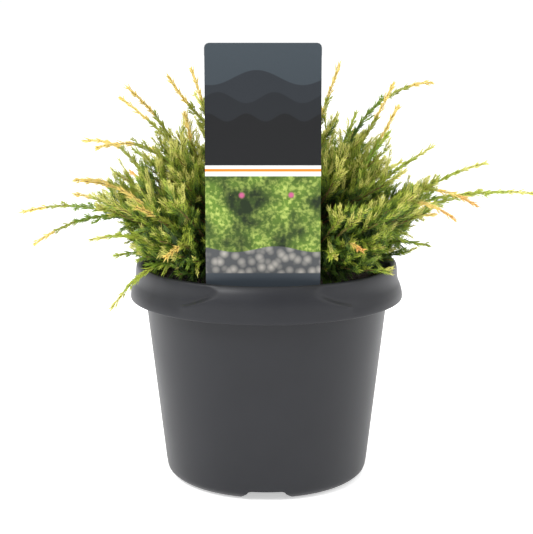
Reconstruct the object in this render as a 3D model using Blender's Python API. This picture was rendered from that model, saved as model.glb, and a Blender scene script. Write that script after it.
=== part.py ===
# Potted flaky juniper: a low spreading conifer shrub in a round nursery pot, with a plant label on a stake.
# Lengths are in millimetres until a mesh is written, and meshes are in metres. +Z is up, +X is to the right
# and -Y is the front. The origin is the middle of the pot's flat underside, on the floor.
import math

import bmesh
import bpy
import numpy as np
from mathutils import Matrix, Vector

MM = 0.001
GAP = 0.3  # clearance between neighbouring solids

# Pot: a tapered body whose top turns over into a hollow rim skirt
POT_HEIGHT = 152.0
POT_FOOT_R = 62.0
POT_HEEL_R = 70.9
POT_HEEL_Z = 7.7
POT_SHOULDER_R = 84.4
POT_SHOULDER_Z = 127.2
POT_WALL = 1.8
POT_FLOOR_Z = 9.5
POT_SEGMENTS = 40
SKIRT_R = 95.0
SKIRT_Z = 127.5
SKIRT_WALL = 1.8
PAD_HALF_ANGLE = 25.0  # the rim is full over this angle each side of the front and of the back
PAD_BLEND_ANGLE = 5.0
FOOT_NOTCHES = 3
NOTCH_HEIGHT = 7.0
NOTCH_TOP_WIDTH = 22.0
NOTCH_FOOT_WIDTH = 38.0
NOTCH_INNER_R = 38.0
DRAIN_HOLE_R = 4.5
DRAIN_HOLE_AT = 48.0

# Soil: a filling that stops below the rim
SOIL_TOP = 138.0

# Label: an upright card on a tapered stake, just inside the front of the rim
LABEL_WIDTH = 74.0
LABEL_TOP = 305.0
LABEL_FOOT = 148.0
LABEL_THICKNESS = 0.8
LABEL_CORNER_R = 3.0
LABEL_X = -2.2
LABEL_Y = -74.0
STAKE_TOP_WIDTH = 22.0
STAKE_FOOT_WIDTH = 10.0
STAKE_FOOT = 86.0
STAKE_TIP = 80.0

# Stem: a short trunk with a flared foot, from the soil to the fork
STEM_HEIGHT = 29.0
STEM_FLARE_R = 11.0
STEM_R = 7.2
STEM_LEAN = (1.6, 0.8)
STEM_SIDES = 10
FLARE_LOBES = 5

# Crown: every mass of foliage keeps to a cone of directions round this centre
CENTRE = np.array([0.0, 0.0, 142.0])
BOUGH_REACH = 42.0
BOUGH_BASE_R = 2.3
BOUGH_TIP_R = 1.6
BOUGH_SIDES = 5
DOME_RISE = (0.0, 12.0, 19.0, 26.0, 35.0, 44.0, 56.0, 70.0, 90.0)  # degrees above the centre
DOME_REACH = (92.0, 98.0, 108.0, 130.0, 124.0, 117.0, 120.0, 121.0, 117.0)
MASS_GAP = 0.5  # from a mass to the plane it shares with its neighbour
LIMB_CLEAR = 1.0
GOLDEN_TURN = 137.5
SEED = 20
RINGS = {
    # count of masses, turn of the first, rise, half width and half height of the cone in degrees,
    # twigs on the mass's stem, and the height on the trunk where its boughs leave
    "low": {"count": 8, "turn": 0, "rise": 20, "wide": 21, "high": 13, "twigs": 8, "leaves": (146.5, 152.0)},
    "mid": {"count": 6, "turn": 30, "rise": 47, "wide": 26, "high": 13, "twigs": 5, "leaves": (157.5, 159.5)},
    "top": {"count": 3, "turn": 90, "rise": 76, "wide": 50, "high": 11, "twigs": 4, "leaves": (163.5, 163.5)},
}
STEM_RADII = (1.6, 1.5, 1.4, 1.2, 2.8, 0.0)  # along a mass's own stem, which ends in one whorl of needles
TWIG_RADII = (0.0, 1.6, 1.3, 2.8, 0.0)
SPRAY_RADII = (0.0, 3.0, 1.0, 2.4, 0.0)  # along a spray: two whorls of needles on a slim core
SPRAY_LENGTH = 20.0
SPRAY_STEP = 9.0
SPRAY_ROOM = 5.0  # from a spray's outer part to the pieces already grown
SHOOT_RADII = (0.0, 1.3, 1.1, 2.0, 0.8, 1.8, 0.7, 1.5, 0.0)
NEEDLE_LEAN = 0.7  # how far a whorl's tips lie ahead of its foot, as a share of how far they stand out

# Long shoots that stand out of the crown: azimuth, rise, reach and upward arch of each tip
LONG_SHOOTS = (
    (174, 70, 152, -0.05),
    (189, 64, 154, 0.04),
    (180, 54, 160, 0.05),
    (220, 59, 136, 0.0),
    (192, 38, 148, 0.16),
    (171, 35, 159, 0.18),
    (184, 27, 148, 0.10),
    (198, 29, 146, 0.06),
    (214, 31, 135, 0.04),
    (177, 14, 176, 0.12),
    (187, 24, 144, 0.08),
    (193, 10, 162, 0.20),
    (207, 15, 134, 0.10),
    (226, 27, 133, 0.10),
    (238, 15, 122, 0.15),
    (204, 11, 113, 0.10),
    (215, -4, 124, 0.28),
    (165, 41, 130, 0.0),
    (6, 71, 154, 0.04),
    (5, 49, 175, 0.12),
    (350, 57, 159, -0.05),
    (338, 52, 152, -0.08),
    (328, 48, 141, 0.0),
    (12, 36, 148, -0.06),
    (2, 27, 170, 0.0),
    (357, 17, 196, 0.14),
    (358, 22, 160, 0.05),
    (346, 20, 155, 0.16),
    (336, 19, 144, 0.20),
    (301, 17, 122, 0.14),
    (295, 16, 108, 0.10),
    (345, 13, 116, 0.06),
    (333, 60, 133, 0.0),
    (331, 70, 124, 0.0),
)
BACK_SHOOTS = 16  # the side away from the front gets as many again, by a seeded rule


def clear_scene():
    for old in list(bpy.data.objects):
        bpy.data.objects.remove(old, do_unlink=True)


def plain_material(name, colour, roughness, metallic=0.0):
    material = bpy.data.materials.new(name)
    material.use_nodes = True
    shader = material.node_tree.nodes["Principled BSDF"]
    shader.inputs["Base Color"].default_value = (*colour, 1.0)
    shader.inputs["Roughness"].default_value = roughness
    shader.inputs["Metallic"].default_value = metallic
    return material


def add_object(name, mesh, material, collection=None):
    item = bpy.data.objects.new(name, mesh)
    item.data.materials.append(material)
    (collection or bpy.context.scene.collection).objects.link(item)
    return item


def finish_mesh(name, bm, smooth_angle=35.0):
    """A mesh in metres from a bmesh in millimetres, with its faces pointing out."""
    bmesh.ops.recalc_face_normals(bm, faces=bm.faces)
    bmesh.ops.scale(bm, vec=(MM, MM, MM), verts=bm.verts)
    mesh = bpy.data.meshes.new(name)
    bm.to_mesh(mesh)
    bm.free()
    mesh.shade_smooth()
    mesh.set_sharp_from_angle(angle=math.radians(smooth_angle))
    return mesh


def guide(item):
    """Keeps a cutter out of the built part."""
    item.hide_render = True
    item.display_type = "WIRE"
    return item


def cut(item, cutter, name):
    boolean = item.modifiers.new(name, "BOOLEAN")
    boolean.operation = "DIFFERENCE"
    boolean.object = cutter
    boolean.solver = "EXACT"


def turned(profile, segments):
    """A solid of revolution from (radius, height) points that run from axis to axis."""
    bm = bmesh.new()
    points = [bm.verts.new((radius, 0.0, height)) for radius, height in profile]
    edges = [bm.edges.new(pair) for pair in zip(points, points[1:])]
    bmesh.ops.spin(bm, geom=points + edges, cent=(0, 0, 0), axis=(0, 0, 1), angle=math.tau,
                   steps=segments, use_merge=True)
    bmesh.ops.remove_doubles(bm, verts=bm.verts, dist=0.001)
    return bm


def inner_wall_r(height):
    """The pot's inner radius at a height between its floor and its crest."""
    slope = (POT_SHOULDER_R - POT_HEEL_R) / (POT_SHOULDER_Z - POT_HEEL_Z)
    return POT_HEEL_R - POT_WALL + slope * (height - POT_HEEL_Z)


# Pot

def rim_pad(azimuth):
    """1 on the full stretches of the rim, at the front and the back, and 0 between them."""
    from_front = abs((math.degrees(azimuth) + 90.0) % 180.0)
    from_front = min(from_front, 180.0 - from_front)
    share = (PAD_HALF_ANGLE + PAD_BLEND_ANGLE - from_front) / (2.0 * PAD_BLEND_ANGLE)
    share = min(max(share, 0.0), 1.0)
    return share * share * (3.0 - 2.0 * share)


def make_pot(material):
    skirt_inner = SKIRT_R - SKIRT_WALL
    # The rim's outer face, from its lower edge up: height, radius between the pads, radius on a pad
    rim_face = ((SKIRT_Z, SKIRT_R, SKIRT_R), (132.5, 94.7, 95.0), (136.5, 94.0, 94.9), (139.5, 92.8, 94.7),
                (143.0, 92.2, 94.2), (148.3, 91.6, 92.4))
    pads = {height: (hollow, full) for height, hollow, full in rim_face}
    profile = [
        (0.0, 0.0), (POT_FOOT_R, 0.0), (66.6, 1.7), (69.8, 4.4), (POT_HEEL_R, POT_HEEL_Z),
        (POT_SHOULDER_R, POT_SHOULDER_Z), (86.4, 145.0), (88.0, 147.0), (89.4, 145.0),
        (skirt_inner, 129.5), (skirt_inner + 0.1, SKIRT_Z),
        *((hollow, height) for height, hollow, full in rim_face),
        (90.4, 151.0), (88.8, POT_HEIGHT), (87.4, 151.2), (86.0, 149.0),
        (inner_wall_r(138.0), 138.0), (inner_wall_r(14.0), 14.0), (66.0, POT_FLOOR_Z), (0.0, POT_FLOOR_Z),
    ]
    bm = turned(profile, POT_SEGMENTS)
    for vert in bm.verts:
        radius = math.hypot(vert.co.x, vert.co.y)
        height = next((h for h in pads if abs(vert.co.z - h) < 0.01), None)
        if height is None or radius < pads[height][0] - 0.01:
            continue
        hollow, full = pads[height]
        wanted = hollow + (full - hollow) * rim_pad(math.atan2(vert.co.y, vert.co.x))
        vert.co.x *= wanted / radius
        vert.co.y *= wanted / radius
    pot = add_object("pot", finish_mesh("pot", bm), material)
    for index in range(FOOT_NOTCHES):
        turn = Matrix.Rotation(math.tau * index / FOOT_NOTCHES - math.pi / 2.0, 4, "Z")
        for name, cutter in (("notch", notch_cutter()), ("drain", drain_cutter())):
            tool = guide(add_object(f"{name}_cutter_{index + 1}", cutter, material))
            tool.matrix_world = turn
            cut(pot, tool, f"{name}_{index + 1}")
    return pot


def notch_cutter():
    """A groove under the foot, wider at the floor, that runs out through the heel along +X."""
    low = NOTCH_FOOT_WIDTH / 2.0 + 0.9
    high = NOTCH_TOP_WIDTH / 2.0
    outline = ((-low, -0.8), (low, -0.8), (high + 1.6, NOTCH_HEIGHT - 1.4), (high, NOTCH_HEIGHT),
               (-high, NOTCH_HEIGHT), (-high - 1.6, NOTCH_HEIGHT - 1.4))
    bm = bmesh.new()
    face = bm.faces.new([bm.verts.new((NOTCH_INNER_R, y, z)) for y, z in outline])
    grown = bmesh.ops.extrude_face_region(bm, geom=[face])
    moved = [part for part in grown["geom"] if isinstance(part, bmesh.types.BMVert)]
    bmesh.ops.translate(bm, vec=(POT_HEEL_R + 5.0 - NOTCH_INNER_R, 0, 0), verts=moved)
    return finish_mesh("notch_cutter", bm)


def drain_cutter():
    bm = bmesh.new()
    bmesh.ops.create_cone(bm, cap_ends=True, segments=12, radius1=DRAIN_HOLE_R, radius2=DRAIN_HOLE_R,
                          depth=8.0, matrix=Matrix.Translation((DRAIN_HOLE_AT, 0, NOTCH_HEIGHT + 1.5)))
    return finish_mesh("drain_cutter", bm)


# Soil

def make_soil(material, stake_cutter):
    profile = ((0.0, POT_FLOOR_Z + GAP), (66.0 - GAP, POT_FLOOR_Z + GAP), (inner_wall_r(14.0) - GAP, 14.2),
               (inner_wall_r(SOIL_TOP) - GAP, SOIL_TOP), (0.0, SOIL_TOP))
    soil = add_object("soil", finish_mesh("soil", turned(profile, POT_SEGMENTS)), material)
    cut(soil, stake_cutter, "stake_slot")
    return soil


# Label

def label_outline():
    """The card and its stake in the XZ plane, with round top corners."""
    half = LABEL_WIDTH / 2.0
    points = [(-half, LABEL_FOOT), (-STAKE_TOP_WIDTH / 2.0, SOIL_TOP + 2.0), (-STAKE_FOOT_WIDTH / 2.0, STAKE_FOOT),
              (0.0, STAKE_TIP), (STAKE_FOOT_WIDTH / 2.0, STAKE_FOOT), (STAKE_TOP_WIDTH / 2.0, SOIL_TOP + 2.0),
              (half, LABEL_FOOT)]
    for side in (1.0, -1.0):
        for step in range(4):
            angle = math.radians(30.0 * (step if side > 0 else 3 - step))
            points.append((side * (half - LABEL_CORNER_R * (1.0 - math.cos(angle))),
                           LABEL_TOP - LABEL_CORNER_R * (1.0 - math.sin(angle))))
    return points


def flat_solid(name, outline, thickness):
    """An outline in the XZ plane, given a thickness along Y about the label's place."""
    bm = bmesh.new()
    front = LABEL_Y - thickness / 2.0
    face = bm.faces.new([bm.verts.new((LABEL_X + x, front, z)) for x, z in outline])
    grown = bmesh.ops.extrude_face_region(bm, geom=[face])
    moved = [part for part in grown["geom"] if isinstance(part, bmesh.types.BMVert)]
    bmesh.ops.translate(bm, vec=(0, thickness, 0), verts=moved)
    return finish_mesh(name, bm)


def make_label(material):
    return add_object("plant_label", flat_solid("plant_label", label_outline(), LABEL_THICKNESS), material)


def make_stake_cutter(material):
    """The stake's shape, grown by the clearance on every side, for the slot in the soil."""
    top = STAKE_TOP_WIDTH / 2.0 + GAP
    foot = STAKE_FOOT_WIDTH / 2.0 + GAP
    outline = ((-top, SOIL_TOP + 2.0), (-foot, STAKE_FOOT - GAP), (0.0, STAKE_TIP - 2.0 * GAP),
               (foot, STAKE_FOOT - GAP), (top, SOIL_TOP + 2.0))
    mesh = flat_solid("stake_cutter", outline, LABEL_THICKNESS + 2.0 * GAP)
    return guide(add_object("stake_cutter", mesh, material))


# Limbs

def unit(vector):
    vector = np.asarray(vector, float)
    return vector / np.linalg.norm(vector)


def heading(azimuth, rise):
    """The direction at an azimuth from +X and a rise from the ground, both in degrees."""
    a, r = math.radians(azimuth), math.radians(rise)
    return np.array([math.cos(r) * math.cos(a), math.cos(r) * math.sin(a), math.sin(r)])


def bend(start, middle, end, count):
    """Points on the quadratic curve through start and end that leans to middle."""
    t = np.linspace(0.0, 1.0, count)[:, None]
    return (1.0 - t) ** 2 * start + 2.0 * t * (1.0 - t) * middle + t ** 2 * end


def at_share(path, share):
    """The point and the direction at a share of a path's length."""
    steps = np.linalg.norm(np.diff(path, axis=0), axis=1)
    along = np.concatenate([[0.0], np.cumsum(steps)])
    place = np.array([np.interp(share * along[-1], along, path[:, k]) for k in range(3)])
    index = min(int(np.searchsorted(along, share * along[-1], side="right")) - 1, len(steps) - 1)
    return place, unit(path[index + 1] - path[index])


def length_of(path):
    return float(np.linalg.norm(np.diff(path, axis=0), axis=1).sum())


def rings_along(path, radii, sides, twist=0.0, lean=0.0):
    """A ring of points at each place on a path. The points of a wide ring lie ahead, as needles lean."""
    chord = unit(path[-1] - path[0])
    across = np.eye(3)[int(np.argmin(np.abs(chord)))]
    rings = []
    for index, (place, radius) in enumerate(zip(path, radii)):
        before, after = path[max(index - 1, 0)], path[min(index + 1, len(path) - 1)]
        forward = unit(after - before)
        side = unit(np.cross(forward, across))
        up = np.cross(side, forward)
        angles = math.tau * np.arange(sides) / sides + twist * index
        round_points = np.outer(np.cos(angles), side) + np.outer(np.sin(angles), up)
        rings.append(place + radius * round_points + forward * lean * max(radius - 1.5, 0.0))
    return rings


def square_end(ring, place, direction):
    """A ring's points moved along a direction onto the plane through a place."""
    return ring - np.outer((ring - place) @ direction, direction)


def solid_along(name, rings):
    """A closed solid through rings of points. A ring of one point is a pointed end."""
    bm = bmesh.new()
    rows = [[bm.verts.new(point) for point in ring] for ring in rings]
    for low, high in zip(rows, rows[1:]):
        for k in range(max(len(low), len(high))):
            near, far = low[k % len(low)], low[(k + 1) % len(low)]
            near_up, far_up = high[k % len(high)], high[(k + 1) % len(high)]
            if near is not far:
                bm.faces.new((near, far, near_up))
            if near_up is not far_up:
                bm.faces.new((far, far_up, near_up))
    for row in (rows[0][::-1], rows[-1]):
        if len(row) > 2:
            bm.faces.new(row)
    return finish_mesh(name, bm)


# Stem and boughs

def stem_axis(height):
    """The trunk's middle at a height above the soil: it leans a little."""
    share = height / STEM_HEIGHT
    return np.array([STEM_LEAN[0] * share, STEM_LEAN[1] * share, SOIL_TOP + GAP + height])


def stem_mesh(name, grown=0.0):
    """Radius against height: a lobed flare, a slow taper and a rounded fork."""
    sizes = ((0.0, STEM_FLARE_R), (2.6, 9.0), (7.0, STEM_R + 0.4), (14.0, STEM_R), (21.0, STEM_R - 0.7),
             (26.0, STEM_R - 1.8), (STEM_HEIGHT, 3.4))
    rings = []
    for index, (height, radius) in enumerate(sizes):
        lobes = 0.14 * max(1.0 - height / 9.0, 0.0)
        angles = math.tau * np.arange(STEM_SIDES) / STEM_SIDES
        round_r = (radius + grown) * (1.0 + lobes * np.cos(FLARE_LOBES * angles + 0.6))
        middle = stem_axis(height)
        if grown and index in (0, len(sizes) - 1):
            middle = middle + np.array([0.0, 0.0, grown if index else -grown])
        rings.append(np.stack([middle[0] + round_r * np.cos(angles), middle[1] + round_r * np.sin(angles),
                               np.full(STEM_SIDES, middle[2])], axis=1))
    return solid_along(name, rings)


def make_bough(mass, material, stem_cutter):
    """One tapering limb from the trunk to the foot of its mass."""
    direction = mass["axis"]
    height = mass["leaves"] - SOIL_TOP
    outward = unit(np.array([direction[0], direction[1], 0.0]))
    start = stem_axis(height) + outward * (STEM_R - 3.2)
    start[2] = mass["leaves"]
    end = CENTRE + direction * (BOUGH_REACH - GAP)
    middle = end - direction * np.linalg.norm(end - start) * 0.55
    path = bend(start, middle, end, 4)
    rings = rings_along(path, np.linspace(BOUGH_BASE_R, BOUGH_TIP_R, len(path)), BOUGH_SIDES)
    rings[-1] = square_end(rings[-1], end, direction)  # where the mass's stem meets it face to face
    bough = add_object(f"bough_{mass['name']}", solid_along("bough", rings), material)
    cut(bough, stem_cutter, "stem_clearance")
    return bough


# Masses of foliage

def list_masses():
    masses = []
    for ring, rule in RINGS.items():
        for index in range(rule["count"]):
            azimuth = rule["turn"] + 360.0 * index / rule["count"]
            masses.append({"name": f"{ring}_{index + 1}", "azimuth": azimuth, "rise": rule["rise"],
                           "wide": rule["wide"], "high": rule["high"], "twigs": rule["twigs"],
                           "leaves": rule["leaves"][index % 2], "axis": heading(azimuth, rule["rise"])})
    return masses


def reach(direction):
    """How far the dense crown goes in a direction from its centre: a low dome, flat behind the label."""
    rise = math.degrees(math.asin(min(max(direction[2], -1.0), 1.0)))
    dome = float(np.interp(rise, DOME_RISE, DOME_REACH))
    if direction[1] < -0.05:
        to_label = (LABEL_Y + 4.0) / direction[1]
        if abs(direction[0] * to_label - LABEL_X) < LABEL_WIDTH / 2.0 + 4.0:
            return min(dome, to_label)
    return dome


def fits(points, mass, masses, near_bough=False):
    """Whether points keep to the mass's own cone and stay clear of pot, soil, label and limbs."""
    rays = points - CENTRE
    for other in masses:
        if other is not mass and (rays @ unit(mass["axis"] - other["axis"])).min() < MASS_GAP:
            return False
    if not near_bough and np.linalg.norm(rays, axis=1).min() < BOUGH_REACH + LIMB_CLEAR:
        return False
    radius = np.hypot(points[:, 0], points[:, 1])
    height = points[:, 2]
    over_rim = (radius > inner_wall_r(SOIL_TOP) - 2.0) & (radius < SKIRT_R + 1.5)
    behind_rim = radius <= inner_wall_r(SOIL_TOP) - 2.0
    by_label = (np.abs(points[:, 0] - LABEL_X) < LABEL_WIDTH / 2.0 + 2.0) & (points[:, 1] < LABEL_Y + 2.0)
    return not ((over_rim & (height < POT_HEIGHT + 1.5)).any()
                or (behind_rim & (height < SOIL_TOP + 1.5)).any() or by_label.any())


def leafy_piece(path, radii, mass, masses, near_bough=False):
    """The rings of a three-sided shoot with standing needles, or nothing if it would leave its space."""
    rings = rings_along(path, radii, 3, twist=math.pi / 3.0, lean=NEEDLE_LEAN)
    rings = [ring if radius else ring[:1] for ring, radius in zip(rings, radii)]
    between = np.array([at_share(path, share)[0] for share in np.linspace(0.05, 1.0, 12)])
    if fits(np.vstack(rings + [between]), mass, masses, near_bough):
        return rings
    return None


def samples(path, first=0.0):
    return np.array([at_share(path, share)[0] for share in np.linspace(first, 1.0, 9)])


def sprays_on(path, first, last, rng, grown, mass, masses):
    """Side sprays, left and right in turn, that lean forward and out from a twig, where there is room."""
    found = []
    outward = mass["axis"]
    count = round(length_of(path) * (last - first) / SPRAY_STEP)
    for k in range(count):
        foot, forward = at_share(path, first + (last - first) * (k + 0.5) / count)
        side = np.cross(forward, outward) + 0.45 * rng.normal(size=3)
        side = unit(side - forward * (side @ forward)) * (1.0 if k % 2 else -1.0)
        direction = unit(0.70 * forward + 0.62 * side + 0.28 * outward)
        size = SPRAY_LENGTH * rng.uniform(0.85, 1.2)
        tip = foot + direction * size + outward * 0.14 * size
        spray = bend(foot, foot + direction * size * 0.5, tip, len(SPRAY_RADII))
        outer = samples(spray, 0.4)
        around = np.vstack(grown)
        if np.linalg.norm(outer[:, None] - around[None], axis=2).min() < SPRAY_ROOM:
            continue
        piece = leafy_piece(spray, SPRAY_RADII, mass, masses)
        if piece:
            found.append(piece)
            grown.append(samples(spray))
    return found


def grow_mass(mass, masses, shoots, seed):
    """Every piece of a mass: its stem, twigs to places spread over its share of the dome, and their sprays."""
    rng = np.random.default_rng(seed)
    axis = mass["axis"]
    foot = CENTRE + axis * BOUGH_REACH
    end = CENTRE + axis * reach(axis) * 0.93
    stem = bend(foot, (foot + end) / 2.0 + np.array([0.0, 0.0, 3.0]), end, len(STEM_RADII))
    rings = leafy_piece(stem, STEM_RADII, mass, masses, near_bough=True)
    rings[0] = square_end(rings[0], foot, axis)
    pieces = [rings]
    paths = [stem]
    phase = rng.uniform(0.0, 360.0)
    for k in range(mass["twigs"]):
        twig = find_twig(stem, k, phase, rng.uniform(0.9, 1.03), mass, masses)
        if twig is not None:
            pieces.append(leafy_piece(twig, TWIG_RADII, mass, masses, near_bough=True))
            paths.append(twig)
    grown = [samples(path) for path in paths]
    for azimuth, rise, far, arch in shoots:
        path, piece = long_shoot(stem, heading(azimuth, rise), far, arch, mass, masses)
        if piece:
            pieces.append(piece)
            grown.append(samples(path))
    for path in paths:
        pieces += sprays_on(path, 0.3, 0.9, rng, grown, mass, masses)
    return pieces


def find_twig(stem, index, phase, scale, mass, masses):
    """A twig's path from the stem to its place on the dome, drawn in towards the mass's middle until it fits."""
    spin = math.radians(phase + GOLDEN_TURN * index)
    spread = math.sqrt((index + 0.6) / mass["twigs"])
    start, forward = at_share(stem, 0.06 + 0.5 * (1.0 - spread))
    for trial in range(6):
        narrow = spread * (1.0 - 0.12 * trial)
        azimuth = mass["azimuth"] + mass["wide"] * narrow * math.cos(spin)
        rise = max(mass["rise"] + mass["high"] * narrow * math.sin(spin), 8.5 + 1.5 * trial)
        target = heading(azimuth, rise)
        tip = CENTRE + target * reach(target) * scale
        away = (tip - start) - forward * ((tip - start) @ forward)
        twig = bend(start, (start + tip) / 2.0 + 0.16 * away, tip, len(TWIG_RADII))
        if leafy_piece(twig, TWIG_RADII, mass, masses, near_bough=True):
            return twig
    return None


def long_shoot(stem, direction, far, arch, mass, masses):
    """A shoot from inside the mass to a tip that stands well out of the crown."""
    tip = CENTRE + direction * far
    for share in (0.25, 0.4, 0.55, 0.7):
        start = at_share(stem, share)[0]
        middle = (start + tip) / 2.0 + np.array([0.0, 0.0, arch * np.linalg.norm(tip - start)])
        path = bend(start, middle, tip, len(SHOOT_RADII))
        piece = leafy_piece(path, SHOOT_RADII, mass, masses, near_bough=True)
        if piece:
            return path, piece
    return None, None


def list_shoots():
    rng = np.random.default_rng(SEED)
    shoots = list(LONG_SHOOTS)
    for k in range(BACK_SHOOTS):
        azimuth = 22.0 + 136.0 * (k + 0.5) / BACK_SHOOTS + rng.uniform(-4.0, 4.0)
        rise = (14.0, 34.0, 22.0, 46.0)[k % 4] + rng.uniform(-4.0, 4.0)
        shoots.append((azimuth, rise, rng.uniform(136.0, 172.0), rng.uniform(-0.05, 0.16)))
    return shoots


def owner_of(direction, masses):
    return max(masses, key=lambda mass: float(mass["axis"] @ direction))


def fuse(name, pieces, material):
    """One closed solid from the pieces of a mass, by one Boolean union on their collection."""
    pile = bpy.data.collections.new(f"{name}_pieces")
    bpy.context.scene.collection.children.link(pile)
    for index, rings in enumerate(pieces[1:]):
        add_object(f"{name}_piece_{index}", solid_along("piece", rings), material, pile)
    whole = add_object(name, solid_along(name, pieces[0]), material)
    union = whole.modifiers.new("union", "BOOLEAN")
    union.operation = "UNION"
    union.operand_type = "COLLECTION"
    union.collection = pile
    union.solver = "EXACT"
    evaluated = whole.evaluated_get(bpy.context.evaluated_depsgraph_get())
    joined = bpy.data.meshes.new_from_object(evaluated)
    whole.modifiers.clear()
    whole.data = keep_main_body(joined)
    for piece in list(pile.objects):
        bpy.data.objects.remove(piece, do_unlink=True)
    bpy.data.collections.remove(pile)
    return whole


def keep_main_body(mesh):
    """Drops loose scraps, and with them the inner skins of sealed hollows."""
    bm = bmesh.new()
    bm.from_mesh(mesh)
    bmesh.ops.triangulate(bm, faces=bm.faces)
    bmesh.ops.remove_doubles(bm, verts=bm.verts, dist=1e-7)
    unseen = set(bm.verts)
    bodies = []
    while unseen:
        body = [unseen.pop()]
        for vert in body:
            for edge in vert.link_edges:
                other = edge.other_vert(vert)
                if other in unseen:
                    unseen.remove(other)
                    body.append(other)
        bodies.append(body)
    bodies.sort(key=len)
    for body in bodies[:-1]:
        bmesh.ops.delete(bm, geom=body, context="VERTS")
    bm.to_mesh(mesh)
    bm.free()
    mesh.shade_smooth()
    mesh.set_sharp_from_angle(angle=math.radians(35.0))
    return mesh


def build():
    clear_scene()
    plastic = plain_material("pot plastic", (0.055, 0.057, 0.064), 0.42)
    peat = plain_material("peat", (0.020, 0.013, 0.009), 0.95)
    card = plain_material("label card", (0.034, 0.036, 0.040), 0.35)
    bark = plain_material("bark", (0.130, 0.075, 0.045), 0.85)
    greens = {
        "low": plain_material("lower foliage", (0.085, 0.170, 0.035), 0.6),
        "mid": plain_material("middle foliage", (0.200, 0.290, 0.060), 0.6),
        "top": plain_material("upper foliage", (0.330, 0.360, 0.080), 0.6),
    }
    make_pot(plastic)
    make_soil(peat, make_stake_cutter(peat))
    make_label(card)
    add_object("stem", stem_mesh("stem"), bark)
    stem_cutter = guide(add_object("stem_cutter", stem_mesh("stem_cutter", GAP), bark))
    masses = list_masses()
    shoots = list_shoots()
    for index, mass in enumerate(masses):
        own = [s for s in shoots if owner_of(heading(s[0], s[1]), masses) is mass]
        make_bough(mass, bark, stem_cutter)
        pieces = grow_mass(mass, masses, own, SEED + 1 + index)
        fuse(f"foliage_{mass['name']}", pieces, greens[mass["name"][:3]])


build()
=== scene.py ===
# Looks of a potted flaky juniper: satin pot, granular peat, printed label, barked limbs and needled shoots.
# Sizes are in millimetres and are scaled to metres when a mesh is made. The front, with the label, faces -Y.
import math
import bpy
import numpy as np
from mathutils import Matrix, Vector


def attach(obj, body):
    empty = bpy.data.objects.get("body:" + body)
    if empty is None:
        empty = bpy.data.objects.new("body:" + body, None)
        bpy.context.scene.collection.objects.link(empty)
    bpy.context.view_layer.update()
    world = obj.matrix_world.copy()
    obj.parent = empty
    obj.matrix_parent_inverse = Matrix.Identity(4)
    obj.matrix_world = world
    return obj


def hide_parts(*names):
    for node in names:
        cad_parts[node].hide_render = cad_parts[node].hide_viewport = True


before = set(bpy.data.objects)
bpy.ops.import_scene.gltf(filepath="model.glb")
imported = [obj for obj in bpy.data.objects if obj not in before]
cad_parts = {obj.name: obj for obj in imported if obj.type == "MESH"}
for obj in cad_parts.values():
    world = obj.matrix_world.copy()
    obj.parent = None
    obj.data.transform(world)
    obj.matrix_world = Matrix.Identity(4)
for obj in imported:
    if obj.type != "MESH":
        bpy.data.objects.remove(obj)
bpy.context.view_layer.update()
scene = bpy.context.scene
mm = 0.001
print("frame loaded")


# Meshes from arrays

def newPiece(name, points, faces, material=None, smooth=True):
    # points: n x 3 in millimetres; faces: m x k corners, all of one count
    mesh = bpy.data.meshes.new(name)
    count, corners = faces.shape
    mesh.vertices.add(len(points))
    mesh.vertices.foreach_set("co", (np.asarray(points, float) * mm).ravel())
    mesh.loops.add(count * corners)
    mesh.loops.foreach_set("vertex_index", faces.astype(np.int32).ravel())
    mesh.polygons.add(count)
    mesh.polygons.foreach_set("loop_start", np.arange(0, count * corners, corners, dtype=np.int32))
    mesh.polygons.foreach_set("use_smooth", np.full(count, smooth))
    if material:
        mesh.materials.append(material)
    mesh.update(calc_edges=True)
    mesh.validate()
    piece = bpy.data.objects.new(name, mesh)
    scene.collection.objects.link(piece)
    return piece


def settle(piece, slotName, *nodes):
    # Every piece rides on the one body; the nodes are the solids that it stands in for
    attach(piece, "root")
    if nodes:
        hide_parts(*nodes)


def tubeFaces(rows, sides):
    # Triangles over rows x sides points, closed round the sides; the two points after them close foot and top
    r = np.arange(rows - 1)[:, None] * sides
    i = np.arange(sides)
    j = (i + 1) % sides
    quads = np.stack([r + i, r + j, r + sides + j, r + sides + i], axis=-1).reshape(-1, 4)
    last = (rows - 1) * sides
    foot = np.stack([np.full(sides, rows * sides), j, i], axis=1)
    top = np.stack([np.full(sides, rows * sides + 1), last + i, last + j], axis=1)
    return np.concatenate([quads[:, [0, 1, 2]], quads[:, [0, 2, 3]], foot, top])


def turned(radius, azimuth, height):
    # Points at these radii, azimuths and heights, spread out against one another
    x, y, z = np.broadcast_arrays(radius * np.cos(azimuth), radius * np.sin(azimuth), height)
    return np.stack([x, y, z], axis=-1)


def unit(v):
    return v / np.maximum(np.linalg.norm(v, axis=-1, keepdims=True), 1e-9)


def smoothStep(t):
    return t * t * (3 - 2 * t)


def valueNoise(x, y, seed, wrapX=64):
    # Smooth noise of about -1 to 1: random heights on a unit lattice. It repeats in x after wrapX
    cells = 64
    lattice = np.random.default_rng(seed).uniform(-1.0, 1.0, (cells, cells))
    xi, yi = np.floor(x).astype(int), np.floor(y).astype(int)
    xf, yf = smoothStep(x - xi), smoothStep(y - yi)
    x0, x1 = xi % wrapX, (xi + 1) % wrapX
    y0, y1 = yi % cells, (yi + 1) % cells
    low = lattice[x0, y0] * (1 - xf) + lattice[x1, y0] * xf
    high = lattice[x0, y1] * (1 - xf) + lattice[x1, y1] * xf
    return low * (1 - yf) + high * yf


# Materials

def srgb(r, g, b):
    # A colour from its 0 to 255 screen values
    c = np.array([r, g, b]) / 255.0
    return tuple(np.where(c <= 0.04045, c / 12.92, ((c + 0.055) / 1.055) ** 2.4)) + (1.0,)


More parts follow.
